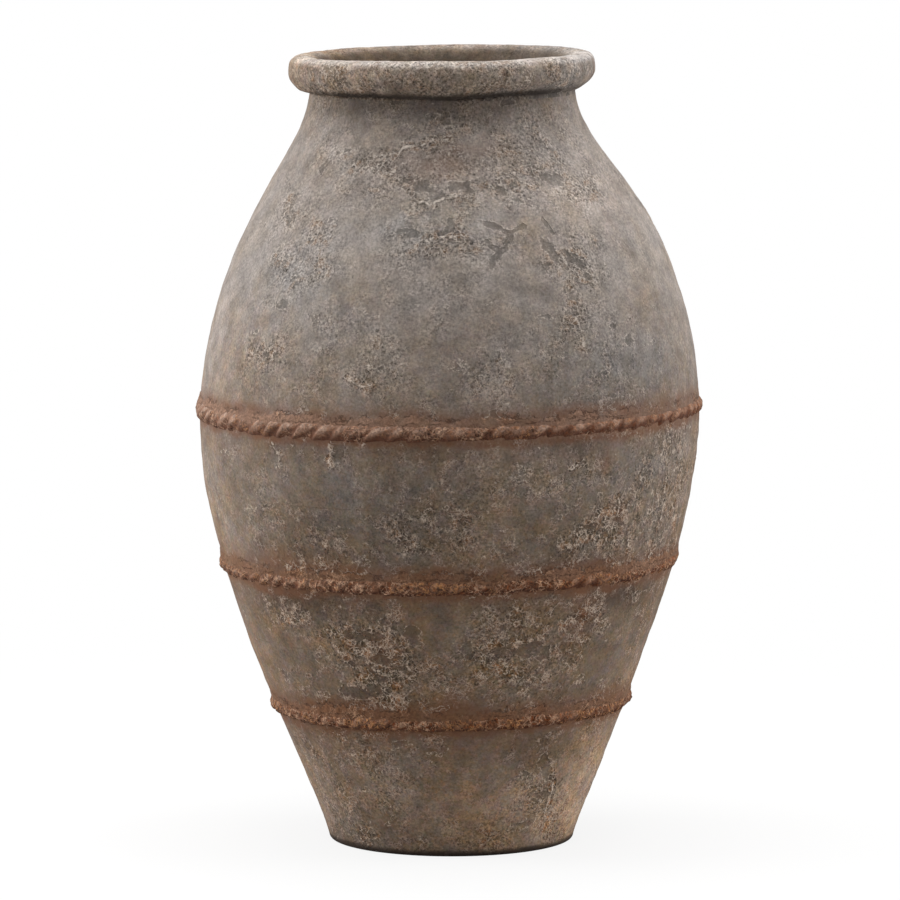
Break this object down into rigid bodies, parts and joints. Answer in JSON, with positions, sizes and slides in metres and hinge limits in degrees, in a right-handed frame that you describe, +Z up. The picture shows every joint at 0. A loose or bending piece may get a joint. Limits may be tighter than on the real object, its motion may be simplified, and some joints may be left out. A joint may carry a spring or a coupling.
{
  "type": "storage jar",
  "caption": "Tall hand-built clay storage jar with a narrow flat foot, full belly, sloping shoulder, short neck, thick rolled rim and cable-pattern bands around the lower body.",
  "frame": {"origin": "centre of the flat foot, on the surface that the jar stands on", "axes": "+Z up along the jar's axis, -Y towards the side that the picture shows, +X to that side's right"},
  "size_m": [0.5165, 0.5166, 0.8],
  "materials": {
    "weathered_clay": "unglazed fired clay, matte, grey-brown, with pale mineral crust",
    "rim_clay": "unglazed fired clay, matte, pale sandy crust",
    "floor_clay": "unglazed fired clay, matte, sooted",
    "rust_clay": "unglazed fired clay, matte, iron-red"
  },
  "bodies": {
    "root": {"floor_disc": "floor_clay", "foot_strake": "weathered_clay", "lower_belly_strake": "weathered_clay", "upper_belly_strake": "weathered_clay", "shoulder_strake": "weathered_clay", "neck_strake": "weathered_clay", "rim_coil": "rim_clay", "rope_band_lower": "rust_clay", "rope_band_middle": "rust_clay", "rope_band_upper": "rust_clay"}
  },
  "joints": []
}
